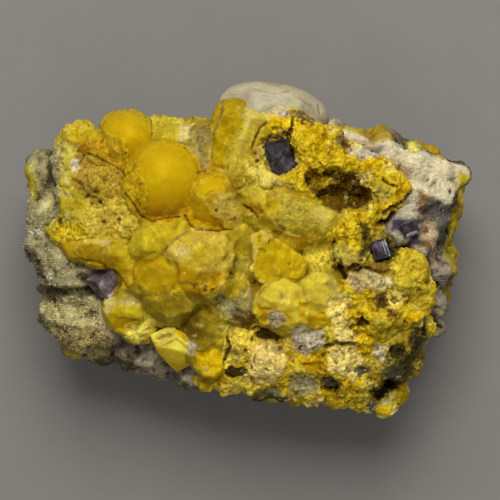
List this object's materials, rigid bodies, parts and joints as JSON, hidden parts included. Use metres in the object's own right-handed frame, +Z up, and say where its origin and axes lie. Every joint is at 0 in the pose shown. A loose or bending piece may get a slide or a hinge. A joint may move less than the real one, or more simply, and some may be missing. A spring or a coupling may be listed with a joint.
{
  "type": "smithsonite specimen",
  "caption": "Block of pale rock lying on a sawn base, its top covered by a lumpy yellow crust of fused balls and crumbs with small purple cubes and a white lens on the back edge.",
  "frame": {"origin": "centre of the whole specimen's box, at the height of its sawn base", "axes": "+X along the long side to the right, +Y towards the edge that carries the white lens, +Z up out of the yellow display face"},
  "size_m": [0.0747, 0.0555, 0.0353],
  "materials": {
    "host_rock": "matte",
    "yellow_smithsonite": "satin",
    "purple_fluorite": "gloss",
    "white_calcite": "satin"
  },
  "bodies": {
    "root": {"host_rock": "host_rock", "smithsonite_crust": "yellow_smithsonite", "smithsonite_patch_back": "yellow_smithsonite", "smithsonite_patch_back_right": "yellow_smithsonite", "smithsonite_patch_right": "yellow_smithsonite", "smithsonite_patch_front_right": "yellow_smithsonite", "smithsonite_patch_front": "yellow_smithsonite", "smithsonite_patch_front_left": "yellow_smithsonite", "smithsonite_patch_left": "yellow_smithsonite", "fluorite_cube_dark": "purple_fluorite", "fluorite_cube_left": "purple_fluorite", "fluorite_cube_right": "purple_fluorite", "fluorite_cube_edge": "purple_fluorite", "calcite_lens": "white_calcite"}
  },
  "joints": []
}
